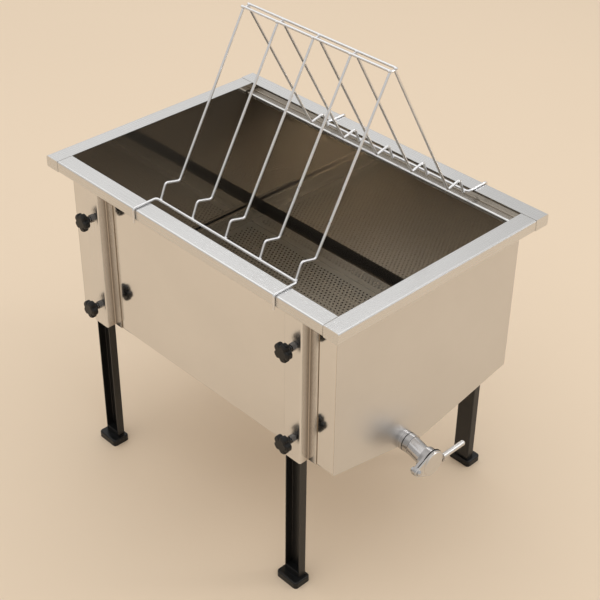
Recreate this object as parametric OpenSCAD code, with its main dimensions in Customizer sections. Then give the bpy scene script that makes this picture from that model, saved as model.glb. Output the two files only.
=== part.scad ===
// Uncapping tank on four clamped legs, with a lift-out sieve, a wire rack and a flap gate
// Millimetres, +Z up, X along the tank towards the gate, origin on the ground under the middle

/* [Tank] */
// Inner length of the tank
tank_l = 751; // [650:1:1100]
// Inner width, a little over a hive frame's top bar
tank_w = 486; // [440:1:560]
// Lower edge of the long sides to the top of the rim
tank_d = 357; // [300:1:480]
// Ground to the lower edge of the long sides, legs pushed in
stand_h = 318; // [220:1:450]
// Fall of the floor from the long sides to the middle crease
floor_drop = 48; // [30:1:70]
// Thickness of the tank's sheet
sheet = 1.2; // [0.8:0.1:2]
// Inside radius of the folds
fold_r = 2; // [1:0.5:4]

/* [Rim] */
// Width of the rim strips
rim_w = 36; // [30:1:60]
// Height of the outer lip
rim_lip = 24; // [15:1:40]
// Width of the hem turned in under the lip
rim_hem = 7; // [4:0.5:10]
// Gap at the butted corners of the rim
rim_gap = 0.8; // [0.2:0.1:1]

/* [Frame ledges] */
// Width of the ledges along the long walls
ledge_w = 18; // [12:1:24]
// Top of the rim to the top of the ledges
ledge_depth = 16; // [10:1:30]
// Height of the fold along a ledge's inner edge
ledge_fold = 8; // [5:0.5:12]
// Height of the flange that is welded to the wall
ledge_flange = 14; // [8:1:20]
// Gap between a ledge's ends and the end walls
ledge_end_gap = 4; // [2:0.5:10]

/* [Legs] */
// Inner face of an end wall to the middle of a leg
leg_inset = 85.5; // [70:0.5:120]
// Wide side of the leg channel
leg_w = 40; // [30:1:50]
// Depth of the leg channel, which is open to the outside
leg_t = 20; // [16:1:30]
// Thickness of the leg channel
leg_wall = 2; // [1.5:0.5:3]
// Corner radius of the leg channel
leg_r = 3; // [2.5:0.5:4]
// Gap round a leg in its sleeve
leg_clear = 0.5; // [0.3:0.1:1]
// Thickness of the sleeves
sleeve_sheet = 1.5; // [1:0.1:2.5]
// Width of the sleeves' welded flanges
sleeve_flange = 21; // [12:1:30]

/* [Feet] */
// Overhang of a foot past its leg, along the tank
foot_past_x = 8; // [3:0.5:12]
// Overhang of a foot past its leg, to the outside
foot_past_out = 15; // [4:0.5:18]
// Overhang of a foot past its leg, to the inside
foot_past_in = 5; // [4:0.5:12]
// Height of a foot below its leg
foot_h = 15; // [12:1:25]
// Height of the upright edge of a foot
foot_edge = 11; // [4:1:11]
// Corner radius of a foot
foot_r = 7; // [3:1:10]
// Height of the plug in the channel
plug_depth = 12; // [8:1:40]

/* [Clamp knobs] */
// Diameter over the lobes
knob_d = 39; // [32:1:42]
// Number of lobes
knob_lobes = 5; // [3:1:7]
// Height of the lobed head
knob_head = 13; // [10:0.5:18]
// Diameter of the hub
hub_d = 18; // [14:0.5:20]
// Height of the hub
hub_h = 8.5; // [4:0.5:16]
// Bare stud between nut and hub
knob_gap = 3; // [3:0.5:15]
// Diameter of the stud
stud_d = 8; // [6:1:10]
// Gap between a slackened stud and the leg it presses on
stud_gap = 3; // [2:0.5:8]
// Width across the flats of the weld nuts
nut_af = 14; // [13:0.5:19]
// Height of the weld nuts
nut_h = 5; // [4:0.5:9]
// Top of the rim to the upper knobs
knob_drop = 98; // [70:1:120]
// Upper knob to lower knob
knob_pitch = 210; // [120:1:230]

/* [Sieve tray] */
// Gap between the tray and the ledges
sieve_side_gap = 2; // [1:0.5:6]
// Gap between the tray and the end walls
sieve_end_gap = 11; // [6:1:40]
// Height of the tray's sides
sieve_h = 54; // [40:1:90]
// Lower edge of the tray to the flange under its floor
plate_rise = 14; // [4:1:24]
// Width of the flange under the tray's floor
sieve_flange = 10; // [8:1:16]
// Diameter of the holes
hole_d = 6; // [3:0.5:8]
// Spacing of the holes
hole_pitch = 24; // [18:1:40]

/* [Wire rack] */
// Diameter of the wire
wire_d = 5; // [3:0.5:8]
// Middle of the tank to the middle of the rack
rack_x = 65; // [-60:1:65]
// Number of V wires
wire_count = 5; // [3:1:6]
// Spacing of the V wires
wire_pitch = 92.5; // [60:0.5:95]
// Top of the rim to the V wires' ridge
rack_h = 325; // [250:1:450]
// Inner edge of the rim to the bottom rails
rail_inset = 17; // [13:0.5:24]
// End wire to the hook over the rim
rail_past = 8; // [6:0.5:20]
// How far the hooks reach down past the rim's top
hook_drop = 28; // [15:1:40]
// Width of the ridge between its two corners
ridge_flat = 12; // [10:0.5:30]
// Bottom rail to the outer corner of the notch, inwards
notch_in = 18; // [12:0.5:25]
// Bottom rail to the outer corner of the notch, upwards
notch_up = 30; // [20:0.5:40]
// Width of the notch
notch_w = 33.5; // [20:0.5:45]
// Fall of the notch towards its inner corner
notch_dip = 8.5; // [4:0.5:14]
// Bend radius at the middle of the wire
wire_bend = 6; // [4:0.5:9]

/* [Outlet gate] */
// Middle crease to the outlet's axis, across the tank
gate_y = -49; // [-60:1:-40]
// Floor to the outlet's axis
gate_rise = 9; // [5:0.5:12]
// Bore of the outlet
gate_bore = 32; // [26:1:33]
// Diameter of the welded stub, the gasket and the gate's collar
stub_tube_d = 40; // [39:0.5:48]
// Length of the welded stub
stub_tube_l = 7; // [2:0.5:15]
// Length of the sump under the floor
sump_l = 50; // [30:1:90]
// Thickness of the gasket
gasket_t = 2; // [1.5:0.5:4]
// Length of the gate's collar
collar_l = 12; // [12:0.5:18]
// Diameter of the gate's sloping neck
neck_d = 37; // [36:0.5:38]
// Collar to mouth ring
neck_l = 31; // [30:1:50]
// Drop of the mouth below the outlet's axis
gate_drop = 13; // [4:0.5:15]
// Diameter of the mouth ring
mouth_ring_d = 50; // [46:1:54]
// Length of the mouth ring
mouth_ring_l = 15; // [14:0.5:20]
// Thickness of the pivot ear and the lever stop
flange_t = 6; // [5:0.5:9]
// Bore of the mouth
mouth_d = 36; // [35:0.5:38]
// Depth of the mouth's bore
mouth_depth = 12; // [11:0.5:12]
// Thickness of the seal on the mouth
seal_t = 2; // [1:0.5:3]
// Width of the seal
seal_w = 9; // [3:0.5:9]

/* [Flap] */
// Diameter of the flap's disc
flap_d = 54; // [54:2:64]
// Thickness of the flap
flap_t = 5; // [4:0.5:9]
// Outlet's axis to the pivot
pivot_arm = 40; // [38:0.5:46]
// Radius of the pivot ears
ear_r = 8.5; // [7:0.5:10]
// Diameter of the pivot bolt
pivot_d = 6; // [5:0.5:8]
// Edge of the disc to the end of the lever
lever_l = 63; // [35:1:80]
// Diameter of the lever
lever_w = 11; // [9:0.5:12]
// Width of the stop under the lever
stop_w = 6; // [4:0.5:9]

/* [Hidden] */
$fn = 48;
// Cuts run this far past the faces they open
overrun = 2;
// Gap between pieces that move against each other
run_gap = 0.3;
// Radial gap of a pin that turns in its hole
turn_gap = 0.06;
// Radial gap of a piece fixed in its hole
fixed_gap = 0.05;
// Gap of a foot's plug in its tube
plug_clear = 0.2;
// Arc steps of a fold
fold_steps = 4;
// Bends of a wire are this much slimmer, and run this many degrees into the straights
bend_slim = 0.04;
bend_lap = 4;
// Radial gap round a stud in its sleeve
stud_hole_gap = 0.6;
// How far the gate's neck runs into its collar and its mouth ring, and its bore past that
neck_lap = 6;
neck_bore_past = 2.5;
// The seal's hole is this much wider than the mouth, all round
seal_back = 1;
// Length of the flat root of the lever past the flap's disc
lever_root = 5;
// Edge rounding of knobs and flap
knob_edge = 2.5;
flap_edge = 1.5;
// Height of the pivot bolt's head and nut, and of the bolt past its nut
bolt_head_h = 4;
bolt_head_d = 12;
pivot_nut_h = 5;
pivot_nut_af = 10;
bolt_past = 1.5;
// Lobe radius and lobe circle as shares of the knob's radius
lobe_r_share = 0.34;
lobe_at_share = 0.66;
core_r_share = 0.74;
// Smaller end of the hub as a share of its diameter
hub_taper_share = 0.8;
// Depth of the stud in the knob as a share of the knob's height
insert_share = 0.75;

rim_top = stand_h + tank_d;
wall_top = rim_top - sheet;
half_l = tank_l / 2;
half_w = tank_w / 2;
out_l = half_l + sheet;
out_w = half_w + sheet;
crease = stand_h - floor_drop;
floor_angle = atan(floor_drop / out_w);
crease_in = crease + sheet / cos(floor_angle);
function floor_at(y) = crease_in + abs(y) * tan(floor_angle);

ledge_top = rim_top - ledge_depth;
ledge_edge = half_w - ledge_w;

leg_x = half_l - leg_inset;
leg_y = out_w + leg_clear + leg_t / 2;
leg_in_r = max(leg_r - leg_wall, plug_clear);
foot_w = leg_w + 2 * foot_past_x;
foot_t = leg_t + foot_past_out + foot_past_in;
foot_out = (foot_past_out - foot_past_in) / 2;
leg_top = wall_top - run_gap;
sleeve_in_w = leg_w + 2 * leg_clear;
sleeve_in_t = leg_t + 2 * leg_clear;
sleeve_face = out_w + sleeve_in_t + sleeve_sheet;
sleeve_top = wall_top - leg_clear;
knob_low = min(knob_drop + knob_pitch, tank_d - 2 * nut_af);
knob_zs = [rim_top - knob_drop, rim_top - knob_low];
stud_tip = leg_y - leg_t / 2 + leg_wall + stud_gap;
hub_face = sleeve_face + nut_h + knob_gap;
stud_end = hub_face + (hub_h + knob_head) * insert_share;

sieve_half_l = half_l - sieve_end_gap;
sieve_half_w = ledge_edge - sieve_side_gap;
sieve_z = floor_at(sieve_half_w) + run_gap;
plate_z = sieve_z + plate_rise + sheet;

wire_r = wire_d / 2;
rail_y = half_w - rail_inset;
rail_z = rim_top + wire_r + run_gap;
hook_x = (wire_count - 1) / 2 * wire_pitch + rail_past;
hook_y = half_w + rim_w + wire_r + run_gap;
ridge_z = rim_top + rack_h;
notch_outer = [rail_y - notch_in, rail_z + notch_up];
notch_inner = notch_outer - [notch_w, notch_dip];
foot_dir = unit([rail_y, rail_z] - notch_outer);
foot_end = [rail_y, rail_z] + wire_d * [-foot_dir.y, foot_dir.x] * -1;
ridge_corner = [ridge_flat / 2, ridge_z];
ridge_slope = unit(notch_inner - ridge_corner);
ridge_turn = acos(ridge_slope.x);
ridge_mid = ridge_corner - [wire_bend * tan(ridge_turn / 2), wire_bend];
ridge_out = wire_bend + wire_d - 2 * bend_slim;
ridge_rail = ridge_mid + ridge_out * [sin(ridge_turn / 2), cos(ridge_turn / 2)];

gate_z = floor_at(gate_y) + gate_rise;
gasket_x = out_l + stub_tube_l;
body_x = gasket_x + gasket_t;
neck_from = body_x + collar_l;
mouth_back = neck_from + neck_l;
mouth_x = mouth_back + mouth_ring_l;
mouth_z = gate_z - gate_drop;
neck_run = neck_l + 2 * neck_lap;
neck_angle = atan(gate_drop / neck_run);
seal_r = mouth_d / 2 + seal_back + seal_w;
flap_x = mouth_x + seal_t + run_gap;
flap_front = flap_x + flap_t;
bolt_seat = flap_front - flap_edge + run_gap;
lever_front = flap_x + (flap_t + lever_w) / 2;
gate_reach = max(lever_front, bolt_seat + bolt_head_h);

// The middle of the whole length stands on the origin
tank_x = (half_l + rim_w - gate_reach) / 2;

// Corners and knobs, as signs along and across the tank
near = -1;
far = 1;
gate_end = 1;
back_end = -1;
corners = [[gate_end, near], [back_end, near], [gate_end, far], [back_end, far]];
function side_name(y) = y == near ? "near" : "far";
function end_name(x) = x == gate_end ? "gate" : "back";
function corner_name(c) = str(side_name(c.y), "_", end_name(c.x));
levels = [0, 1];
level_names = ["upper", "lower"];

// Colours
steel = [0.78, 0.77, 0.75];
satin = [0.72, 0.71, 0.69];
black = [0.05, 0.05, 0.05];
chrome = [0.85, 0.85, 0.85];
zinc = [0.7, 0.71, 0.74];
wire_grey = [0.75, 0.76, 0.78];

// Small geometry helpers
function unit(v) = v / norm(v);
function left(v) = [-v.y, v.x];
function reverse(list) = [for (i = [len(list) - 1 : -1 : 0]) list[i]];
function turned(v, a) = [v.x * cos(a) - v.y * sin(a), v.x * sin(a) + v.y * cos(a)];

// Points of an arc that rounds the corner b of a path a, b, c
function corner_arc(a, b, c, r) =
    let (
        d0 = unit(b - a),
        d1 = unit(c - b),
        side = sign(d0.x * d1.y - d0.y * d1.x),
        turn = acos(d0 * d1),
        start = b - d0 * r * tan(turn / 2),
        centre = start + side * r * left(d0))
    [for (i = [0 : fold_steps]) centre + turned(start - centre, side * turn * i / fold_steps)];

// A path with its inner corners rounded
function rounded(path, radii) = concat(
    [path[0]],
    [for (i = [1 : len(path) - 2]) each corner_arc(path[i - 1], path[i], path[i + 1], radii[i - 1])],
    [path[len(path) - 1]]);

// Outline of a folded sheet, from its two faces and their fold radii
function folded(face_a, radii_a, face_b, radii_b) =
    concat(rounded(face_a, radii_a), reverse(rounded(face_b, radii_b)));

function round_box(w, t, r) =
    let (corner = [[w, t], [-w, t], [-w, -t], [w, -t]] / 2)
    [for (i = [0 : 3]) each corner_arc(corner[(i + 3) % 4], corner[i], corner[(i + 1) % 4], r)];

module in_tank() translate([tank_x, 0, 0]) children();

// Runs a profile drawn in Y and Z along X
module along_x(from, to)
    translate([from, 0, 0]) rotate([90, 0, 90]) linear_extrude(to - from) children();

// Turns a piece drawn for the near side, pointing out along -Y, to either long side
module to_side(y) mirror([0, y == far ? 1 : 0, 0]) children();

module segment(a, b, r) {
    d = b - a;
    translate(a) rotate([0, acos(d.z / norm(d)), atan2(d.y, d.x)]) cylinder(h = norm(d), r = r);
}

// A round wire along points, its corners bent to one radius and let into the straights
module bent_wire(points, r, bend) {
    last = len(points) - 1;
    dirs = [for (i = [0 : last - 1]) unit(points[i + 1] - points[i])];
    turns = [for (i = [1 : last - 1]) acos(dirs[i - 1] * dirs[i])];
    trims = [for (i = [0 : last]) i == 0 || i == last ? 0 : bend * tan(turns[i - 1] / 2)];
    for (i = [0 : last - 1])
        segment(points[i] + trims[i] * dirs[i], points[i + 1] - trims[i + 1] * dirs[i], r);
    for (i = [1 : last - 1]) {
        axis = unit(cross(dirs[i - 1], dirs[i]));
        inward = cross(axis, dirs[i - 1]);
        centre = points[i] - trims[i] * dirs[i - 1] + bend * inward;
        along = dirs[i - 1];
        multmatrix([
            [-inward.x, along.x, axis.x, centre.x],
            [-inward.y, along.y, axis.y, centre.y],
            [-inward.z, along.z, axis.z, centre.z],
            [0, 0, 0, 1]])
            rotate(-bend_lap) rotate_extrude(angle = turns[i - 1] + 2 * bend_lap)
                translate([bend, 0]) circle(r = r - bend_slim);
    }
}

module ring(r_out, r_in, h) {
    difference() {
        cylinder(h = h, r = r_out);
        translate([0, 0, -overrun]) cylinder(h = h + 2 * overrun, r = r_in);
    }
}

module hex_nut(af, h, bore_r) {
    difference() {
        cylinder(h = h, r = af / 2 / cos(30), $fn = 6);
        translate([0, 0, -overrun]) cylinder(h = h + 2 * overrun, r = bore_r);
    }
}

// Disc and ear joined by their tangents, the ear at -Y
module eared_disc(r, ear, arm) {
    lean = asin((r - ear) / arm);
    circle(r = r);
    translate([0, -arm]) circle(r = ear);
    polygon([
        [r * cos(lean), -r * sin(lean)],
        [-r * cos(lean), -r * sin(lean)],
        [-ear * cos(lean), -arm - ear * sin(lean)],
        [ear * cos(lean), -arm - ear * sin(lean)]]);
}

// Tank
function tub_face(y, foot, bottom) =
    [[-y, wall_top], [-y, foot], [0, bottom], [y, foot], [y, wall_top]];

module tub_outline() {
    outer = fold_r + sheet;
    polygon(rounded(tub_face(out_w, stand_h, crease), [outer, outer, outer]));
}

module outlet_hole(from, to, r)
    translate([from, gate_y, gate_z]) rotate([0, 90, 0]) cylinder(h = to - from, r = r);

module tub_wrap() color(steel) in_tank() difference() {
    outer = fold_r + sheet;
    along_x(-half_l, half_l) polygon(folded(
        tub_face(out_w, stand_h, crease), [outer, outer, outer],
        tub_face(half_w, floor_at(half_w), crease_in), [fold_r, fold_r, fold_r]));
    outlet_hole(half_l - sump_l, half_l + overrun, gate_bore / 2);
}

module gate_end_wall() color(satin) in_tank() difference() {
    along_x(half_l, out_l) {
        tub_outline();
        translate([gate_y, gate_z]) circle(d = stub_tube_d);
    }
    outlet_hole(half_l - overrun, out_l + overrun, gate_bore / 2);
}

module back_end_wall() color(satin) in_tank() along_x(-out_l, -half_l) tub_outline();

// Rim strips, drawn with the inner edge on the X axis, the lip at -Y and the top at zero
module rim_strip(length, start_return, end_return) {
    outer = fold_r + sheet;
    face_out = [[0, 0], [-rim_w, 0], [-rim_w, -rim_lip], [-rim_w + rim_hem, -rim_lip]];
    face_in = [
        [0, -sheet],
        [-rim_w + sheet, -sheet],
        [-rim_w + sheet, -rim_lip + sheet],
        [-rim_w + rim_hem, -rim_lip + sheet]];
    along_x(0, length) polygon(folded(face_out, [outer, outer], face_in, [fold_r, fold_r]));
    if (start_return) rim_return();
    if (end_return) translate([length - sheet, 0, 0]) rim_return();
}

// Lip that closes the end of a strip at an outer corner
module rim_return()
    translate([0, -rim_w + sheet, -rim_lip]) cube([sheet, rim_w - sheet, rim_lip - sheet]);

module near_rim() color(steel) in_tank()
    translate([-half_l + rim_gap, -half_w, rim_top]) rim_strip(tank_l - 2 * rim_gap, false, false);

module far_rim() color(steel) in_tank()
    translate([half_l + rim_w, half_w, rim_top]) rotate([0, 0, 180])
        rim_strip(tank_l + 2 * rim_w, true, true);

module gate_rim() color(steel) in_tank()
    translate([half_l, -half_w - rim_w, rim_top]) rotate([0, 0, 90])
        rim_strip(tank_w + rim_w - rim_gap, true, false);

module back_rim() color(steel) in_tank()
    translate([-half_l, half_w - rim_gap, rim_top]) rotate([0, 0, -90])
        rim_strip(tank_w + rim_w - rim_gap, false, true);

// Ledge that carries the frames' lugs, drawn for the near side
module ledge(y) {
    outer = fold_r + sheet;
    top = [
        [-half_w, ledge_top - ledge_flange],
        [-half_w, ledge_top],
        [-ledge_edge, ledge_top],
        [-ledge_edge, ledge_top - ledge_fold]];
    under = [
        [-half_w + sheet, ledge_top - ledge_flange],
        [-half_w + sheet, ledge_top - sheet],
        [-ledge_edge - sheet, ledge_top - sheet],
        [-ledge_edge - sheet, ledge_top - ledge_fold]];
    color(steel) in_tank() to_side(y) along_x(-half_l + ledge_end_gap, half_l - ledge_end_gap)
        polygon(folded(top, [outer, outer], under, [fold_r, fold_r]));
}

// Legs
module sleeve(c) {
    outer = fold_r + sleeve_sheet;
    in_w = sleeve_in_w / 2;
    out_side = in_w + sleeve_sheet;
    edge = out_side + sleeve_flange;
    out_t = sleeve_in_t + sleeve_sheet;
    face_out = [
        [-edge, sleeve_sheet], [-out_side, sleeve_sheet], [-out_side, out_t],
        [out_side, out_t], [out_side, sleeve_sheet], [edge, sleeve_sheet]];
    face_in = [
        [-edge, 0], [-in_w, 0], [-in_w, sleeve_in_t],
        [in_w, sleeve_in_t], [in_w, 0], [edge, 0]];
    color(satin) in_tank() to_side(c.y) difference() {
        translate([c.x * leg_x, -out_w, stand_h]) linear_extrude(sleeve_top - stand_h) mirror([0, 1])
            polygon(folded(
                face_out, [fold_r, outer, outer, fold_r],
                face_in, [outer, fold_r, fold_r, outer]));
        for (z = knob_zs) translate([c.x * leg_x, -sleeve_face - overrun, z]) rotate([-90, 0, 0])
            cylinder(h = sleeve_sheet + 2 * overrun, r = stud_d / 2 + stud_hole_gap);
    }
}

module weld_nuts() color(zinc) in_tank()
    for (c = corners) for (z = knob_zs)
        to_side(c.y) translate([c.x * leg_x, -sleeve_face, z]) rotate([90, 0, 0])
            hex_nut(nut_af, nut_h, stud_d / 2 + turn_gap);

module leg(c) {
    w = leg_w / 2;
    t = leg_t / 2;
    in_w = w - leg_wall;
    // The open edges stop short of the sleeve's folds
    edge = fold_r - t;
    face_out = [[-w, edge], [-w, t], [w, t], [w, edge]];
    face_in = [[-in_w, edge], [-in_w, t - leg_wall], [in_w, t - leg_wall], [in_w, edge]];
    color(black) in_tank() to_side(c.y) translate([c.x * leg_x, -leg_y, foot_h])
        linear_extrude(leg_top - foot_h)
            polygon(folded(face_out, [leg_r, leg_r], face_in, [leg_in_r, leg_in_r]));
}

module foot(c) {
    plug_w = leg_w - 2 * leg_wall - 2 * plug_clear;
    plug_t = leg_t - leg_wall - plug_clear - fold_r;
    color(black) in_tank() to_side(c.y) translate([c.x * leg_x, -leg_y, 0]) {
        translate([0, -foot_out]) linear_extrude(foot_edge) polygon(round_box(foot_w, foot_t, foot_r));
        hull() {
            translate([0, -foot_out, foot_edge - sheet])
                linear_extrude(sheet) polygon(round_box(foot_w, foot_t, foot_r));
            translate([0, 0, foot_h - sheet])
                linear_extrude(sheet) polygon(round_box(leg_w, leg_t, leg_r));
        }
        translate([0, (fold_r - leg_wall - plug_clear) / 2])
            linear_extrude(foot_h + plug_depth) polygon(round_box(plug_w, plug_t, leg_in_r));
    }
}

// Puts a piece drawn along +Z on a clamp screw's axis, pointing out of its sleeve
module on_screw(c, k, out)
    in_tank() to_side(c.y) translate([c.x * leg_x, -out, knob_zs[k]]) rotate([90, 0, 0]) children();

module knob_outline() {
    r = knob_d / 2;
    circle(r = r * core_r_share);
    for (i = [0 : knob_lobes - 1]) rotate(i * 360 / knob_lobes)
        translate([r * lobe_at_share, 0]) circle(r = r * lobe_r_share);
}

module knob(c, k) {
    r = knob_d / 2;
    top = hub_h + knob_head;
    color(black) on_screw(c, k, hub_face) difference() {
        union() {
            cylinder(h = hub_h + overrun, r1 = hub_d / 2 * hub_taper_share, r2 = hub_d / 2);
            intersection() {
                translate([0, 0, hub_h]) linear_extrude(knob_head) knob_outline();
                rotate_extrude() polygon([
                    [0, hub_h],
                    [r - knob_edge, hub_h],
                    [r, hub_h + knob_edge],
                    [r, top - 2 * knob_edge],
                    [r - knob_edge, top - knob_edge / 2],
                    [hub_d / 2, top],
                    [0, top]]);
            }
        }
        translate([0, 0, -overrun])
            cylinder(h = stud_end - hub_face + overrun, r = stud_d / 2 + fixed_gap);
    }
}

module stud(c, k) color(zinc) on_screw(c, k, stud_tip)
    cylinder(h = stud_end - stud_tip, r = stud_d / 2);

// Sieve tray
module sieve_frame() {
    size = 2 * [sieve_half_l, sieve_half_w];
    inside = size - 2 * sheet * [1, 1];
    opening = size - 2 * sieve_flange * [1, 1];
    color(steel) in_tank() translate([0, 0, sieve_z]) {
        linear_extrude(sieve_h) difference() {
            square(size, center = true);
            square(inside, center = true);
        }
        translate([0, 0, plate_rise]) linear_extrude(sheet) difference() {
            square(size - sheet * [1, 1], center = true);
            square(opening, center = true);
        }
    }
}

module sieve_plate() {
    size = 2 * [sieve_half_l, sieve_half_w] - 2 * (sheet + plug_clear) * [1, 1];
    row_pitch = hole_pitch * sin(60);
    field = size - 2 * (sieve_flange + hole_d) * [1, 1];
    cols = floor(field.x / hole_pitch);
    rows = floor(field.y / row_pitch);
    color(steel) in_tank() translate([0, 0, plate_z]) linear_extrude(sheet) difference() {
        square(size, center = true);
        for (row = [0 : rows]) for (col = [0 : cols - row % 2])
            translate([(col + (row % 2) / 2 - cols / 2) * hole_pitch, (row - rows / 2) * row_pitch])
                circle(d = hole_d);
    }
}

// Wire rack
module in_rack() in_tank() translate([rack_x, 0, 0]) children();

module rack_rail(y) color(wire_grey) in_rack() to_side(y) bent_wire([
    [-hook_x, -hook_y, rim_top - hook_drop],
    [-hook_x, -hook_y, rail_z],
    [-hook_x, -rail_y, rail_z],
    [hook_x, -rail_y, rail_z],
    [hook_x, -hook_y, rail_z],
    [hook_x, -hook_y, rim_top - hook_drop]], wire_r, wire_bend);

module rack_ridge(y) {
    reach = (wire_count - 1) / 2 * wire_pitch + wire_r;
    color(wire_grey) in_rack() to_side(y)
        segment([-reach, -ridge_rail.x, ridge_rail.y], [reach, -ridge_rail.x, ridge_rail.y], wire_r);
}

module rack_wire(i) {
    half = [foot_end, notch_outer, notch_inner, ridge_corner];
    points = concat(
        [for (p = half) [0, -p.x, p.y]],
        [for (p = reverse(half)) [0, p.x, p.y]]);
    color(wire_grey) in_rack() translate([(i - 1 - (wire_count - 1) / 2) * wire_pitch, 0, 0])
        bent_wire(points, wire_r, wire_bend);
}

// Outlet and gate
module below_floor() along_x(half_l - sump_l - sheet, half_l) polygon([
    [-out_w, stand_h],
    [0, crease],
    [out_w, stand_h],
    [out_w, crease - stub_tube_d],
    [-out_w, crease - stub_tube_d]]);

module outlet_sump() color(steel) in_tank() intersection() {
    difference() {
        outlet_hole(half_l - sump_l - sheet, half_l, gate_bore / 2 + sheet);
        outlet_hole(half_l - sump_l, half_l + overrun, gate_bore / 2);
    }
    below_floor();
}

// Puts a piece drawn along +Z on the outlet's level axis
module on_outlet(x) in_tank() translate([x, gate_y, gate_z]) rotate([0, 90, 0]) children();

// Puts a piece drawn along +Z on the mouth's level axis, with +X of the drawing pointing down
module on_mouth(x) in_tank() translate([x, gate_y, mouth_z]) rotate([0, 90, 0]) children();

// Puts a piece drawn along +Z on the neck's sloping axis, from inside the collar
module on_neck()
    in_tank() translate([neck_from - neck_lap, gate_y, gate_z]) rotate([0, 90 + neck_angle, 0]) children();

module outlet_stub() color(chrome) on_outlet(out_l)
    ring(stub_tube_d / 2, gate_bore / 2, stub_tube_l);

module gate_gasket() color(black) on_outlet(gasket_x)
    ring(stub_tube_d / 2, gate_bore / 2, gasket_t);

module gate_body() {
    slope_l = neck_run / cos(neck_angle);
    color(chrome) difference() {
        union() {
            on_outlet(body_x) cylinder(h = collar_l, r = stub_tube_d / 2);
            on_neck() cylinder(h = slope_l, r = neck_d / 2);
            on_mouth(mouth_back) cylinder(h = mouth_ring_l, r = mouth_ring_d / 2);
            on_mouth(mouth_x - flange_t) linear_extrude(flange_t)
                eared_disc(mouth_ring_d / 2, ear_r, pivot_arm);
            lever_stop();
        }
        on_outlet(body_x - overrun) cylinder(h = collar_l + overrun, r = gate_bore / 2);
        on_neck() cylinder(h = slope_l + neck_bore_past, r = gate_bore / 2);
        on_mouth(mouth_x - mouth_depth) cylinder(h = mouth_depth + overrun, r = mouth_d / 2);
        on_mouth(mouth_x - flange_t - overrun) translate([0, -pivot_arm, 0])
            cylinder(h = flange_t + 2 * overrun, r = pivot_d / 2 + fixed_gap);
    }
}

// Lug on the mouth ring that the lever comes down on
module lever_stop() {
    low = lever_w / 2 + run_gap;
    start = mouth_ring_d / 2 - flange_t;
    clear = flap_d / 2 + run_gap;
    end = clear + stop_w;
    on_mouth(mouth_x - flange_t) {
        translate([low, start, 0]) cube([stop_w, end - start, flange_t]);
        translate([low, clear, 0]) cube([stop_w, stop_w, flap_front - mouth_x + flange_t]);
    }
}

module flap_seal() color(black) on_mouth(mouth_x)
    ring(seal_r, seal_r - seal_w, seal_t);

module gate_flap() color(chrome) on_mouth(flap_x) difference() {
    root_w = lever_w - 2 * flap_edge;
    union() {
        linear_extrude(flap_t - flap_edge) {
            eared_disc(flap_d / 2, ear_r, pivot_arm);
            translate([-root_w / 2, 0]) square([root_w, flap_d / 2 + lever_root]);
        }
        lever_rod();
        translate([0, 0, flap_t - 2 * flap_edge])
            cylinder(h = 2 * flap_edge, r1 = flap_d / 2 - flap_edge / 2, r2 = flap_d / 2 - 2 * flap_edge);
    }
    translate([0, -pivot_arm, -overrun])
        cylinder(h = flap_t + 2 * overrun, r = pivot_d / 2 + turn_gap);
}

// Round rod with a domed end, which starts clear of the mouth's seal
module lever_rod() {
    r = lever_w / 2;
    from = max(flap_d / 2, seal_r) + run_gap;
    straight = flap_d / 2 + lever_l - from - r;
    translate([0, from, flap_t / 2]) rotate([-90, 0, 0]) {
        cylinder(h = straight, r = r);
        translate([0, 0, straight]) sphere(r = r);
    }
}

module on_pivot(x) on_mouth(x) translate([0, -pivot_arm, 0]) children();

module pivot_bolt() color(zinc) {
    nut_back = mouth_x - flange_t - pivot_nut_h - bolt_past;
    on_pivot(nut_back) cylinder(h = bolt_seat - nut_back + bolt_head_h / 2, r = pivot_d / 2);
    on_pivot(bolt_seat) rotate_extrude() polygon([
        [0, 0],
        [bolt_head_d / 2, 0],
        [bolt_head_d / 2, bolt_head_h / 2],
        [pivot_d / 2, bolt_head_h],
        [0, bolt_head_h]]);
}

module pivot_washer() color(zinc) on_pivot(mouth_x)
    ring(ear_r, pivot_d / 2 + fixed_gap, seal_t);

module pivot_nut() color(zinc) on_pivot(mouth_x - flange_t - pivot_nut_h)
    hex_nut(pivot_nut_af, pivot_nut_h, pivot_d / 2 + fixed_gap);

tub_wrap();
gate_end_wall();
back_end_wall();
near_rim();
far_rim();
gate_rim();
back_rim();
ledge(near);  // near_ledge
ledge(far);  // far_ledge
weld_nuts();
for (c = corners) {
    sleeve(c);
    leg(c);
    foot(c);
    for (k = levels) {
        knob(c, k);
        stud(c, k);
    }
}
sieve_frame();
sieve_plate();
rack_rail(near);  // rack_near_rail
rack_rail(far);  // rack_far_rail
rack_ridge(near);  // rack_near_ridge
rack_ridge(far);  // rack_far_ridge
for (i = [1 : wire_count]) rack_wire(i);
outlet_sump();
outlet_stub();
gate_gasket();
gate_body();
flap_seal();
gate_flap();
pivot_bolt();
pivot_washer();
pivot_nut();
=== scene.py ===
import math

import bmesh
import bpy
from mathutils import Matrix, Vector


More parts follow.
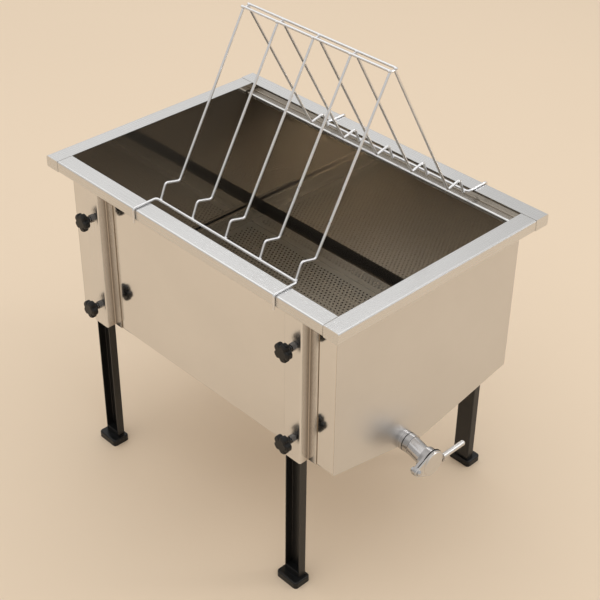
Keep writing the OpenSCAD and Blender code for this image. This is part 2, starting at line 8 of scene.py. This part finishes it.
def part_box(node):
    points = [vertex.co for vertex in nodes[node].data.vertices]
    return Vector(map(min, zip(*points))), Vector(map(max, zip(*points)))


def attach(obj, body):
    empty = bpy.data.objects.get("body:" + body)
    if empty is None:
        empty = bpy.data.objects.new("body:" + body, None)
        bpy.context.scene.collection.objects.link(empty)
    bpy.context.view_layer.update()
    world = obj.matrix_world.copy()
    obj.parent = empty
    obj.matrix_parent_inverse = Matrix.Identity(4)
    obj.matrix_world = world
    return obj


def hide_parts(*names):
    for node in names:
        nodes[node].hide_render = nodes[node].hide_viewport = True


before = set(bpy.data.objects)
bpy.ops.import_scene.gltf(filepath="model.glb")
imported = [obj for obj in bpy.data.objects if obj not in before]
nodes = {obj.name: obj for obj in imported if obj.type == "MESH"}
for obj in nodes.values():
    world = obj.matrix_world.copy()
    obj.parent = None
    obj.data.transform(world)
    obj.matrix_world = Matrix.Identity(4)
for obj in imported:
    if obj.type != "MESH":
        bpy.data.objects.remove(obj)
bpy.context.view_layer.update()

scene = bpy.context.scene
scene.view_settings.view_transform = "Standard"
print("frame loaded with", len(nodes), "pieces")


# camera, where the photograph was taken from
viewpoint = {
    "spot": (1.62117, -1.56442, 1.99360),
    "yaw": 45.817,
    "pitch": -35.094,
    "roll": 0.689,
    "lens": 81.066,
    "sensor": 36.0,
    "reach": 50.0,
}


def placeCamera(setup):
    yaw, pitch, roll = (math.radians(setup[k]) for k in ("yaw", "pitch", "roll"))
    level = math.cos(pitch)
    ahead = Vector((-math.sin(yaw) * level, math.cos(yaw) * level, math.sin(pitch)))
    side = ahead.cross(Vector((0, 0, 1))).normalized()
    rise = side.cross(ahead)
    across = side * math.cos(roll) + rise * math.sin(roll)
    upward = rise * math.cos(roll) - side * math.sin(roll)
    data = bpy.data.cameras.new("photoCamera")
    data.lens = setup["lens"]
    data.sensor_width = setup["sensor"]
    data.sensor_fit = "HORIZONTAL"
    data.clip_end = setup["reach"]
    obj = bpy.data.objects.new("photoCamera", data)
    turn = Matrix((across, upward, -ahead)).transposed().to_4x4()
    obj.matrix_world = Matrix.Translation(setup["spot"]) @ turn
    scene.collection.objects.link(obj)
    scene.camera = obj


placeCamera(viewpoint)
print("camera placed")


# shader maths: a wrapped socket that can be used in expressions
class Signal:
    def __init__(self, finish, socket):
        self.finish = finish
        self.socket = socket

    def work(self, operation, first, second=None):
        values = {0: first} if second is None else {0: first, 1: second}
        return self.finish.add("ShaderNodeMath", {"operation": operation}, values)

    def __add__(self, other):
        return self.work("ADD", self, other)

    def __radd__(self, other):
        return self.work("ADD", other, self)

    def __sub__(self, other):
        return self.work("SUBTRACT", self, other)

    def __rsub__(self, other):
        return self.work("SUBTRACT", other, self)

    def __mul__(self, other):
        return self.work("MULTIPLY", self, other)

    def __rmul__(self, other):
        return self.work("MULTIPLY", other, self)

    def __lt__(self, other):
        return self.work("LESS_THAN", self, other)

    def __gt__(self, other):
        return self.work("GREATER_THAN", self, other)

    def size(self):
        return self.work("ABSOLUTE", self)


class Finish:
    def __init__(self, name):
        self.material = bpy.data.materials.new(name)
        self.material.use_nodes = True
        self.tree = self.material.node_tree
        self.shader = self.tree.nodes["Principled BSDF"]

    # any node: its type, its settings, then the values or links of its sockets
    def add(self, kind, settings=None, sockets=None, output=0):
        node = self.tree.nodes.new(kind)
        for key, value in (settings or {}).items():
            setattr(node, key, value)
        for key, value in (sockets or {}).items():
            self.feed(node.inputs[key], value)
        return Signal(self, node.outputs[output])

    def feed(self, socket, value):
        if isinstance(value, Signal):
            self.tree.links.new(value.socket, socket)
        else:
            socket.default_value = value

    def coat(self, **values):
        for key, value in values.items():
            self.feed(self.shader.inputs[shaderSockets[key]], value)
        return self

    def place(self):
        return self.add("ShaderNodeTexCoord", output=3)

    def parts(self, vector):
        first = self.add("ShaderNodeSeparateXYZ", None, {0: vector})
        node = first.socket.node
        return [Signal(self, node.outputs[i]) for i in range(3)]

    def noise(self, vector, scale, detail=3.0, roughness=0.5):
        values = {"Vector": vector, "Scale": scale, "Detail": detail, "Roughness": roughness}
        return self.add("ShaderNodeTexNoise", None, values)

    def stretched(self, vector, factors):
        return self.add("ShaderNodeVectorMath", {"operation": "MULTIPLY"}, {0: vector, 1: factors})

    def blend(self, mask, first, second):
        sockets = {0: mask, 6: first, 7: second}
        return self.add("ShaderNodeMix", {"data_type": "RGBA"}, sockets, output=2)

    # a share that runs from 0 to 1 while the value runs from start to end
    def ramp(self, value, start, end):
        sockets = {"Value": value, "From Min": start, "From Max": end}
        return self.add("ShaderNodeMapRange", None, sockets)

    def bump(self, height, strength, distance):
        sockets = {"Height": height, "Strength": strength, "Distance": distance}
        return self.add("ShaderNodeBump", None, sockets)


shaderSockets = {
    "colour": "Base Color",
    "metal": "Metallic",
    "rough": "Roughness",
    "normal": "Normal",
    "specular": "Specular IOR Level",
}


def tone(r, g, b):
    return (r, g, b, 1.0)


# sheet steel: long rolling marks, faint clouding, and a slow waviness that bends what it reflects
# inside(f, here) masks the faces in the tank, which are sharper and a little hazy, with painted
# shade: a darker, warmer colour for the dim light inside the tank
# the seam mask paints shadow lines into the gaps between sheets, and shade(f, here) paints shade into
# the corners that see little light
def sheetSteel(name, look, inside=None, seamShadow=None, shade=None):
    f = Finish(name)
    here = f.place()
    marks = f.noise(f.stretched(here, look["grain"]), 1.0, 2.0)
    cloud = f.noise(here, look["cloudScale"], 4.0, 0.6)
    wave = f.noise(here, look["waveScale"], 1.0)
    patchy = cloud - 0.5
    rough = look["rough"] + patchy * look["roughCloud"] + (marks - 0.5) * look["roughMarks"]
    colour = f.blend(cloud, look["dull"], look["bright"])
    height = wave * look["waveHeight"] + marks * look["markHeight"]
    metal = 1.0
    if inside:
        mask = inside(f, here)
        rough = rough * (1 - mask) + mask * (look["innerRough"] + patchy * look["innerCloud"])
        # painted shade: a darker, warmer colour on the tank's inner faces
        colour = f.blend(mask, colour, look["inner"])
        metal = 1 - mask * look["innerHaze"]
    if shade:
        colour = f.blend(shade(f, here), colour, look["shaded"])
    if seamShadow:
        # painted shadow lines in the gaps between sheets
        colour = f.blend(seamShadow(f, here), colour, look["jointShadow"])
    f.coat(metal=metal, rough=rough, colour=colour, normal=f.bump(height, 1.0, look["bumpDepth"]))
    return f.material


# where the tank's inner faces are, with the height of the floor's crease and its slope to each side
tankInside = {
    "halfWidth": 0.2436,
    "halfLength": 0.3761,
    "middle": -0.02125,
    "crease": 0.2706,
    "slope": 0.1966,
}


def insideWrap(f, here):
    x, y, z = f.parts(here)
    across = y.size()
    above = z - across * tankInside["slope"] > tankInside["crease"]
    return (across < tankInside["halfWidth"]) * above


def insideEnd(f, here):
    x, y, z = f.parts(here)
    return (x - tankInside["middle"]).size() < tankInside["halfLength"]


# painted shadow lines in the gaps: beside the sleeves' flanges, and where the rim strips meet
jointShadowWidths = {"line": 0.0007, "edge": 0.0001, "rim": 0.0004}


# painted shadow on the wall along both edges of each sleeve's flange
def flangeShadowLine(f, here):
    x, y, z = f.parts(here)
    low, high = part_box("sleeve_near_gate")
    middle = tankInside["middle"]
    away = (x - middle).size()
    half = jointShadowWidths["line"] / 2
    inner = (away - (low.x - middle) + half).size() < half
    outer = (away - (high.x - middle) - half).size() < half
    return (inner + outer) * (z > low.z) * (z < high.z) * (y.size() > tankInside["halfWidth"])


# painted shadow on the cut edges of the sleeves' flanges
def sleeveEdgeShadow(f, here):
    x, y, z = f.parts(here)
    low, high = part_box("sleeve_near_gate")
    middle = tankInside["middle"]
    away = (x - middle).size()
    return (away < low.x - middle + jointShadowWidths["edge"]) + (away > high.x - middle - jointShadowWidths["edge"])


# the corner between a sleeve's side and its flange
sleeveCorner = {
    "start": 0.2655,
    "end": 0.250,
    "side": 0.0200,
    "fold": 0.0235,
    "flange": 0.0320,
    "most": 0.66,
}


def sleeveShade(f, here):
    x, y, z = f.parts(here)
    low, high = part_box("sleeve_near_gate")
    middle = tankInside["middle"]
    off = ((x - middle).size() - ((low.x + high.x) / 2 - middle)).size()
    deep = f.ramp(y.size(), sleeveCorner["start"], sleeveCorner["end"])
    near = f.ramp(off, sleeveCorner["flange"], sleeveCorner["fold"])
    return deep * near * (off > sleeveCorner["side"]) * sleeveCorner["most"]


# painted shadow in the butt gaps where the rim strips meet
def rimGapShadow(f, here):
    x, y, z = f.parts(here)
    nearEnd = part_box("near_rim")[1].x - tankInside["middle"]
    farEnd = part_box("gate_rim")[1].y
    away = (x - tankInside["middle"]).size()
    near = ((away - nearEnd).size() < jointShadowWidths["rim"]) * (y < -tankInside["halfWidth"])
    far = ((y - farEnd).size() < jointShadowWidths["rim"]) * (away > nearEnd)
    return near + far


wallLook = {
    "grain": (6.0, 900.0, 900.0),
    "cloudScale": 5.0,
    "waveScale": 4.0,
    "rough": 0.10,
    "roughCloud": 0.05,
    "roughMarks": 0.04,
    "dull": tone(0.70, 0.69, 0.68),
    "bright": tone(0.80, 0.79, 0.78),
    "waveHeight": 0.35,
    "markHeight": 0.004,
    "bumpDepth": 0.001,
    # painted shade: the inner faces' darker, warmer colour for the dim light inside the tank
    "inner": tone(0.46, 0.41, 0.345),
    "innerRough": 0.06,
    "innerCloud": 0.04,
    "innerHaze": 0.08,
    # painted shadow tone for the lines in the gaps
    "jointShadow": tone(0.38, 0.33, 0.27),
}
endLook = dict(
    wallLook,
    grain=(900.0, 6.0, 900.0),
    rough=0.33,
    roughCloud=0.08,
    dull=tone(0.63, 0.62, 0.61),
    bright=tone(0.72, 0.71, 0.70),
)
rimLongLook = dict(
    wallLook,
    rough=0.27,
    waveHeight=0.1,
    markHeight=0.01,
    roughMarks=0.10,
    dull=tone(0.66, 0.66, 0.66),
    bright=tone(0.74, 0.74, 0.74),
    # painted shadow tone for the rim's butt gaps
    jointShadow=tone(0.30, 0.29, 0.28),
)
rimEndLook = dict(rimLongLook, grain=(900.0, 6.0, 900.0))
sleeveLook = dict(
    wallLook,
    grain=(900.0, 900.0, 6.0),
    rough=0.26,
    roughCloud=0.08,
    shaded=tone(0.30, 0.25, 0.20),
)
# painted shade: the tray and its plate take darker, warmer colours for the dim light inside the tank
trayLook = dict(
    wallLook,
    rough=0.16,
    dull=tone(0.36, 0.34, 0.30),
    bright=tone(0.44, 0.41, 0.37),
)
plateLook = dict(
    trayLook,
    rough=0.32,
    dull=tone(0.46, 0.43, 0.38),
    bright=tone(0.55, 0.52, 0.47),
    waveHeight=0.1,
)

wallSteel = sheetSteel("wallSteel", wallLook, insideWrap, flangeShadowLine)
endSteel = sheetSteel("endSteel", endLook, insideEnd)
rimLongSteel = sheetSteel("rimLongSteel", rimLongLook, None, rimGapShadow)
rimEndSteel = sheetSteel("rimEndSteel", rimEndLook, None, rimGapShadow)
sleeveSteel = sheetSteel("sleeveSteel", sleeveLook, None, sleeveEdgeShadow, sleeveShade)
traySteel = sheetSteel("traySteel", trayLook)
plateSteel = sheetSteel("plateSteel", plateLook)


# drawn wire, polished casting and zinc plate: plain metals with a fine grain
def smallMetal(name, look):
    f = Finish(name)
    here = f.place()
    grain = f.noise(here, look["grainScale"], 3.0)
    cloud = f.noise(here, look["cloudScale"], 2.0)
    rough = look["rough"] + (cloud - 0.5) * look["roughCloud"]
    colour = f.blend(cloud, look["dull"], look["bright"])
    normal = f.bump(grain, look["bump"], look["bumpDepth"])
    f.coat(metal=1.0, rough=rough, colour=colour, normal=normal)
    return f.material


wireLook = {
    "grainScale": 700.0,
    "cloudScale": 40.0,
    "rough": 0.30,
    "roughCloud": 0.12,
    "dull": tone(0.72, 0.72, 0.73),
    "bright": tone(0.84, 0.84, 0.85),
    "bump": 0.08,
    "bumpDepth": 0.0004,
}
castLook = dict(
    wireLook,
    grainScale=120.0,
    cloudScale=30.0,
    rough=0.22,
    dull=tone(0.48, 0.47, 0.47),
    bright=tone(0.58, 0.57, 0.57),
    bump=0.04,
)
flapLook = dict(
    castLook,
    rough=0.36,
    dull=tone(0.64, 0.63, 0.62),
    bright=tone(0.72, 0.71, 0.70),
)
zincLook = dict(
    wireLook,
    rough=0.20,
    dull=tone(0.50, 0.51, 0.53),
    bright=tone(0.64, 0.65, 0.67),
    bump=0.12,
)
# painted reflection: the nuts take a very dark colour for the dark reflections they show
nutLook = dict(
    zincLook,
    dull=tone(0.14, 0.13, 0.12),
    bright=tone(0.20, 0.19, 0.18),
)

wireSteel = smallMetal("wireSteel", wireLook)
castSteel = smallMetal("castSteel", castLook)
flapSteel = smallMetal("flapSteel", flapLook)
zincPlate = smallMetal("zincPlate", zincLook)
nutSteel = smallMetal("nutSteel", nutLook)


# black finishes: powder coat, moulded plastic and rubber
def blackFinish(name, look):
    f = Finish(name)
    here = f.place()
    peel = f.noise(here, look["peelScale"], 2.0)
    dust = f.noise(here, look["dustScale"], 4.0, 0.65)
    colour = f.blend(dust, look["deep"], look["worn"])
    rough = look["rough"] + (dust - 0.5) * look["roughDust"]
    normal = f.bump(peel, look["bump"], look["bumpDepth"])
    f.coat(metal=0.0, rough=rough, colour=colour, specular=look["shine"], normal=normal)
    return f.material


tubeLook = {
    "peelScale": 900.0,
    "dustScale": 14.0,
    "deep": tone(0.0045, 0.0042, 0.0040),
    "worn": tone(0.010, 0.0092, 0.0085),
    "rough": 0.34,
    "roughDust": 0.15,
    "shine": 0.5,
    "bump": 0.20,
    "bumpDepth": 0.0005,
}
mouldLook = dict(
    tubeLook,
    peelScale=1500.0,
    dustScale=60.0,
    rough=0.32,
    shine=0.28,
    deep=tone(0.0045, 0.0045, 0.0045),
    worn=tone(0.011, 0.011, 0.011),
)
rubberLook = dict(tubeLook, rough=0.7, dustScale=120.0)

tubeBlack = blackFinish("tubeBlack", tubeLook)
mouldBlack = blackFinish("mouldBlack", mouldLook)
rubberBlack = blackFinish("rubberBlack", rubberLook)


def dress(name, material):
    slots = nodes[name].data.materials
    slots.clear()
    slots.append(material)


finishes = {
    "tub_wrap": wallSteel,
    "gate_end_wall": endSteel,
    "back_end_wall": endSteel,
    "near_rim": rimLongSteel,
    "far_rim": rimLongSteel,
    "gate_rim": rimEndSteel,
    "back_rim": rimEndSteel,
    "near_ledge": rimLongSteel,
    "far_ledge": rimLongSteel,
    "sieve": traySteel,
    "sleeve": sleeveSteel,
    "rack": wireSteel,
    "leg": tubeBlack,
    "foot": mouldBlack,
    "knob": mouldBlack,
    "stud": zincPlate,
    "weld_nuts": nutSteel,
    "pivot": zincPlate,
    "outlet_sump": wallSteel,
    "outlet_stub": castSteel,
    "gate_body": castSteel,
    "gate_flap": flapSteel,
    "gate_gasket": rubberBlack,
    "flap_seal": rubberBlack,
}
for name in nodes:
    dress(name, finishes.get(name) or finishes[name.split("_")[0]])
print("finishes made:", len(bpy.data.materials))


def addPiece(bm, name, material, body):
    mesh = bpy.data.meshes.new(name)
    bm.to_mesh(mesh)
    bm.free()
    mesh.materials.append(material)
    obj = bpy.data.objects.new(name, mesh)
    scene.collection.objects.link(obj)
    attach(obj, body)
    return obj


# sieve plate with its full field of holes
sieveHoles = {"pitch": 0.0100, "hole": 0.0046, "sides": 8, "margin": 0.012, "merge": 0.00002}


def makeSieve(look):
    low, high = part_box("sieve_plate")
    wide, deep = high.x - low.x, high.y - low.y
    rowStep = look["pitch"] * math.sin(math.radians(60))
    columns = int((wide - 2 * look["margin"]) / look["pitch"])
    rows = int((deep - 2 * look["margin"]) / rowStep)
    bm = bmesh.new()
    # one cell: a square with eight edge points, and an eight-sided hole
    bmesh.ops.create_circle(bm, cap_ends=False, segments=look["sides"], radius=look["hole"] / 2)
    hole = list(bm.verts)
    grid = bmesh.ops.create_grid(bm, x_segments=2, y_segments=2, size=0.5)["verts"]
    middle = [v for v in grid if v.co.length < 0.01]
    bmesh.ops.delete(bm, geom=middle, context="VERTS")
    rim = [v for v in bm.verts if v not in hole]
    bmesh.ops.scale(bm, vec=(look["pitch"], rowStep, 1), verts=rim)
    loose = [e for e in bm.edges if e.is_wire or e.is_boundary]
    bmesh.ops.bridge_loops(bm, edges=loose)
    cell = list(bm.verts) + list(bm.edges) + list(bm.faces)
    # a row of cells, then rows, every second one shifted by half a pitch
    sideways = (wide - columns * look["pitch"]) / 2
    endways = (deep - rows * rowStep) / 2
    start = Vector((low.x + sideways, low.y + endways, high.z))
    bmesh.ops.translate(bm, vec=start + Vector((look["pitch"], rowStep, 0)) / 2, verts=bm.verts[:])
    row = list(cell)
    for i in range(1, columns):
        copy = bmesh.ops.duplicate(bm, geom=cell)["geom"]
        moved = [g for g in copy if isinstance(g, bmesh.types.BMVert)]
        bmesh.ops.translate(bm, vec=(i * look["pitch"], 0, 0), verts=moved)
        row += copy
    last = set(copy)
    short = [g for g in row if g not in last]
    for j in range(1, rows):
        copy = bmesh.ops.duplicate(bm, geom=short if j % 2 else row)["geom"]
        moved = [g for g in copy if isinstance(g, bmesh.types.BMVert)]
        bmesh.ops.translate(bm, vec=(look["pitch"] / 2 * (j % 2), j * rowStep, 0), verts=moved)
        if j % 2:
            rowEdges = (start.y + j * rowStep, start.y + (j + 1) * rowStep)
            for x in (start.x, start.x + (columns - 0.5) * look["pitch"]):
                plain(bm, ((x, x + look["pitch"] / 2), rowEdges), high.z, (1, 2))
    # a plain border, cut where the cells' edge points are
    xs = (low.x, start.x, start.x + columns * look["pitch"], high.x)
    ys = (low.y, start.y, start.y + rows * rowStep, high.y)
    for i, across in enumerate((1, 2 * columns, 1)):
        for j, along in enumerate((1, 2 * rows, 1)):
            if (i, j) != (1, 1):
                plain(bm, (xs[i:i + 2], ys[j:j + 2]), high.z, (across, along))
    bmesh.ops.remove_doubles(bm, verts=bm.verts[:], dist=look["merge"])
    bmesh.ops.recalc_face_normals(bm, faces=bm.faces[:])
    bmesh.ops.solidify(bm, geom=bm.faces[:], thickness=high.z - low.z)
    return bm


# a plain patch of sheet, in so many parts across and along
def plain(bm, spread, z, parts):
    (x0, x1), (y0, y1) = spread
    patch = bmesh.ops.create_grid(bm, x_segments=parts[0], y_segments=parts[1], size=0.5)["verts"]
    bmesh.ops.scale(bm, vec=(x1 - x0, y1 - y0, 1), verts=patch)
    bmesh.ops.translate(bm, vec=((x0 + x1) / 2, (y0 + y1) / 2, z), verts=patch)


sieve = addPiece(makeSieve(sieveHoles), "sieveSheet", plateSteel, "sieve")
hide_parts("sieve_plate")
print("sieve plate made:", len(sieve.data.polygons), "faces")


# hems folded out at the tray's two ends
hemShape = {"reach": 0.0075, "thick": 0.0015, "fall": 0.005, "round": 0.0006}


def makeHems(look):
    low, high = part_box("sieve_frame")
    bm = bmesh.new()
    for end, way in ((low.x, -1), (high.x, 1)):
        tip = end + way * look["reach"]
        back = tip - way * look["thick"]
        for inner, drop in ((end, look["thick"]), (back, look["fall"])):
            start = Vector((min(inner, tip), low.y, high.z - drop))
            stop = Vector((max(inner, tip), high.y, high.z))
            block(bm, start, stop, look["round"], look["round"])
    bmesh.ops.recalc_face_normals(bm, faces=bm.faces[:])
    return bm


# a block with rounded upright edges and a rounded top
blockSteps = {"corner": 6, "soft": 4}
closeTo = 1e-6


def block(bm, low, high, corner, soft):
    before = set(bm.edges)
    made = bmesh.ops.create_cube(bm, size=1)["verts"]
    bmesh.ops.scale(bm, vec=high - low, verts=made)
    bmesh.ops.translate(bm, vec=(low + high) / 2, verts=made)
    fresh = [e for e in bm.edges if e not in before]
    half = (high.z - low.z) / 2
    upright = [e for e in fresh if abs(e.verts[0].co.z - e.verts[1].co.z) > half]
    bmesh.ops.bevel(bm, geom=upright, offset=corner, segments=blockSteps["corner"], profile=0.5,
                    affect="EDGES", material=-1)
    fresh = [e for e in bm.edges if e not in before]
    upper = [e for e in fresh if all(abs(v.co.z - high.z) < closeTo for v in e.verts)]
    bmesh.ops.bevel(bm, geom=upper, offset=soft, segments=blockSteps["soft"], profile=0.5,
                    affect="EDGES", material=-1)


addPiece(makeHems(hemShape), "trayHems", traySteel, "sieve")
print("tray hems made")


# star knobs, moulded with rounded lobes, a raised cap and a tapered hub
knobShape = {
    "lobes": 5,
    "points": 100,
    "fit": 0.99,
    "dip": 0.24,
    "narrow": 3.0,
    "hub": 0.009,
    "hubTaper": 0.8,
    "hubPoints": 32,
    "hubHeight": 0.0085,
    "hubSink": 0.002,
    "round": 0.0030,
    "steps": 5,
    "cap": 0.0010,
    "capShare": 0.72,
}


# turns a piece made along +Z to point out of the near or the far side, and moves it there
def outward(bm, place, side):
    turn = Matrix(((1, 0, 0), (0, 0, side), (0, -side, 0))).to_4x4()
    bmesh.ops.transform(bm, matrix=Matrix.Translation(place) @ turn, verts=bm.verts[:])


def makeKnob(node, look):
    low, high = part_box(node)
    screwLow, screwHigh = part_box(node.replace("knob", "stud"))
    axis = (screwLow + screwHigh) / 2
    side = 1 if low.y > 0 else -1
    full = high.y - low.y
    radius = (high.x - axis.x) * look["fit"]
    bm = bmesh.new()
    outline = bmesh.ops.create_circle(bm, cap_ends=True, segments=look["points"], radius=radius)
    head = outline["verts"]
    for v in head:
        swing = 0.5 - 0.5 * math.cos(look["lobes"] * math.atan2(v.co.y, v.co.x))
        v.co *= 1 - look["dip"] * swing ** look["narrow"]
    # rings from the underside up: the height, and the share of the outline
    thick = full - look["hubHeight"] - look["cap"]
    edge = look["round"] / radius
    quarter = [math.radians(90 * i / look["steps"]) for i in range(look["steps"] + 1)]
    rings = [(look["round"] * (1 - math.cos(a)), 1 - edge * (1 - math.sin(a))) for a in quarter]
    rings += [(thick - height, share) for height, share in reversed(rings)]
    rings += [(thick, look["capShare"] + edge / 4), (thick + look["cap"], look["capShare"])]
    bmesh.ops.scale(bm, vec=(rings[0][1], rings[0][1], 1), verts=head)
    bmesh.ops.translate(bm, vec=(0, 0, look["hubHeight"]), verts=head)
    top = bm.faces[:]
    for (lastHeight, lastShare), (height, share) in zip(rings, rings[1:]):
        below = top if lastHeight else []  # the first face stays as the underside
        raised = bmesh.ops.extrude_face_region(bm, geom=top)["geom"]
        ring = [g for g in raised if isinstance(g, bmesh.types.BMVert)]
        top = [g for g in raised if isinstance(g, bmesh.types.BMFace)]
        bmesh.ops.scale(bm, vec=(share / lastShare, share / lastShare, 1), verts=ring)
        bmesh.ops.translate(bm, vec=(0, 0, height - lastHeight), verts=ring)
        bmesh.ops.delete(bm, geom=below, context="FACES_ONLY")
    tall = look["hubHeight"] + look["hubSink"]
    hub = bmesh.ops.create_cone(bm, cap_ends=True, segments=look["hubPoints"], depth=tall,
                                radius1=look["hub"] * look["hubTaper"], radius2=look["hub"])["verts"]
    bmesh.ops.translate(bm, vec=(0, 0, tall / 2), verts=hub)
    bmesh.ops.recalc_face_normals(bm, faces=bm.faces[:])
    outward(bm, (axis.x, low.y if side > 0 else high.y, axis.z), side)
    return bm


# clamp studs with a rolled thread
studShape = {"pitch": 0.00125, "steps": 16, "depth": 0.0007, "merge": 0.00001}


def makeStud(node, look):
    low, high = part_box(node)
    side = 1 if low.y > 0 else -1
    length, radius = high.y - low.y, (high.x - low.x) / 2
    turns = int(length / look["pitch"]) + 2
    bm = bmesh.new()
    root = bm.verts.new((radius - look["depth"], 0, -look["pitch"]))
    crest = bm.verts.new((radius, 0, -look["pitch"] / 2))
    after = bm.verts.new((radius - look["depth"], 0, 0))
    tooth = [root, crest, after, bm.edges.new((root, crest)), bm.edges.new((crest, after))]
    rise = look["pitch"] / look["steps"]
    bmesh.ops.spin(bm, geom=tooth, axis=(0, 0, 1), cent=(0, 0, 0), dvec=(0, 0, rise),
                   angle=math.tau * turns, steps=look["steps"] * turns)
    bmesh.ops.remove_doubles(bm, verts=bm.verts[:], dist=look["merge"])
    for height, way in ((0, -1), (length, 1)):
        every = bm.verts[:] + bm.edges[:] + bm.faces[:]
        bmesh.ops.bisect_plane(bm, geom=every, plane_co=(0, 0, height), plane_no=(0, 0, way),
                               clear_outer=True)
        ends = [e for e in bm.edges if e.is_boundary and abs(e.verts[0].co.z - height) < closeTo]
        bmesh.ops.holes_fill(bm, edges=ends)
    bmesh.ops.recalc_face_normals(bm, faces=bm.faces[:])
    middle = (low + high) / 2
    outward(bm, (middle.x, low.y if side > 0 else high.y, middle.z), side)
    return bm


for name in [n for n in nodes if n.startswith("knob_")]:
    clamp = name.replace("knob_", "clamp_")
    knob = addPiece(makeKnob(name, knobShape), name.replace("knob", "starKnob"), mouldBlack,
                    clamp)
    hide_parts(name)
    thread = name.replace("knob_", "stud_")
    stud = addPiece(makeStud(thread, studShape), thread.replace("stud", "screw"), zincPlate,
                    clamp)
    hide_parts(thread)
print("knobs and screws made")


# moulded feet: a rounded block with soft edges and a plug in the leg's channel
footShape = {"height": 0.015, "corner": 0.007, "soft": 0.0032, "wall": 0.0023, "plugRound": 0.0008}


def makeFoot(node, look):
    low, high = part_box(node)
    legLow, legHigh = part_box(node.replace("foot", "leg"))
    bm = bmesh.new()
    block(bm, low, Vector((high.x, high.y, look["height"])), look["corner"], look["soft"])
    side = 1 if low.y > 0 else -1
    inner = legLow.y + look["wall"] if side > 0 else legHigh.y - look["wall"]
    outer = legHigh.y if side > 0 else legLow.y
    start = Vector((legLow.x + look["wall"], min(inner, outer), look["height"] - look["soft"]))
    end = Vector((legHigh.x - look["wall"], max(inner, outer), high.z))
    block(bm, start, end, look["plugRound"], look["plugRound"])
    bmesh.ops.recalc_face_normals(bm, faces=bm.faces[:])
    return bm


for name in [n for n in nodes if n.startswith("foot_")]:
    foot = addPiece(makeFoot(name, footShape), name.replace("foot", "softFoot"), mouldBlack,
                    name.replace("foot", "leg"))
    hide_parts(name)
print("feet made")


# weld beads where the rack's bent wires meet the ridge wires and the rails
beadShape = {
    "ridge": 0.0034,
    "rail": 0.0030,
    "sink": 0.0006,
    "wire": 0.0025,
    "stretch": (1.35, 1.0, 0.85),
}


def makeBeads(look):
    bm = bmesh.new()
    for i in range(1, 6):
        low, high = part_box("rack_wire_%d" % i)
        x = (low.x + high.x) / 2
        spots = []
        for side in ("near", "far"):
            a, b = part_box("rack_%s_ridge" % side)
            spots.append(((x, (a.y + b.y) / 2, (a.z + b.z) / 2 - look["sink"]), look["ridge"]))
        spots.append(((x, low.y + look["wire"], low.z + look["wire"]), look["rail"]))
        spots.append(((x, high.y - look["wire"], low.z + look["wire"]), look["rail"]))
        for spot, radius in spots:
            bead = bmesh.ops.create_icosphere(bm, subdivisions=2, radius=radius)["verts"]
            bmesh.ops.scale(bm, vec=look["stretch"], verts=bead)
            bmesh.ops.translate(bm, vec=spot, verts=bead)
    return bm


addPiece(makeBeads(beadShape), "rackBeads", wireSteel, "rack")
print("weld beads made")


# floor and light
studio = {
    "floorSize": 14.0,
    "floor": tone(0.80, 0.648, 0.484),
    "floorRough": 0.75,
    "cloudScale": 1.2,
    "cloudLift": 1.03,
    "dome": tone(1.0, 0.98, 0.95),
    "domeStrength": 0.64,
    "lamps": [
        ("keyLamp", (-3.4, 2.6, 3.0), (0.0, 0.0, 0.4), 3.0, 6.0),
        ("topLamp", (-0.3, -0.2, 4.2), (0.0, 0.0, 0.0), 7.5, 118.0),
        ("sideLamp", (2.4, 2.5, 2.3), (0.0, 0.0, 0.5), 0.7, 15.0),
    ],
}


def makeStudio(look):
    f = Finish("floorPaint")
    here = f.place()
    cloud = f.noise(here, look["cloudScale"], 3.0)
    lifted = tone(*(c * look["cloudLift"] for c in look["floor"][:3]))
    pale = f.blend(cloud, look["floor"], lifted)
    f.coat(metal=0.0, rough=look["floorRough"], colour=pale)
    bm = bmesh.new()
    bmesh.ops.create_grid(bm, x_segments=1, y_segments=1, size=look["floorSize"] / 2)
    mesh = bpy.data.meshes.new("floor")
    bm.to_mesh(mesh)
    bm.free()
    mesh.materials.append(f.material)
    floor = bpy.data.objects.new("floor", mesh)
    scene.collection.objects.link(floor)
    world = bpy.data.worlds.new("studioDome")
    world.use_nodes = True
    back = world.node_tree.nodes["Background"]
    back.inputs["Color"].default_value = look["dome"]
    back.inputs["Strength"].default_value = look["domeStrength"]
    scene.world = world
    for name, spot, aim, size, power in look["lamps"]:
        data = bpy.data.lights.new(name, "AREA")
        data.shape = "SQUARE"
        data.size = size
        data.energy = power
        lamp = bpy.data.objects.new(name, data)
        lamp.location = spot
        lamp.rotation_mode = "QUATERNION"
        lamp.rotation_quaternion = (Vector(aim) - Vector(spot)).to_track_quat("-Z", "Y")
        scene.collection.objects.link(lamp)


makeStudio(studio)
print("studio lit")
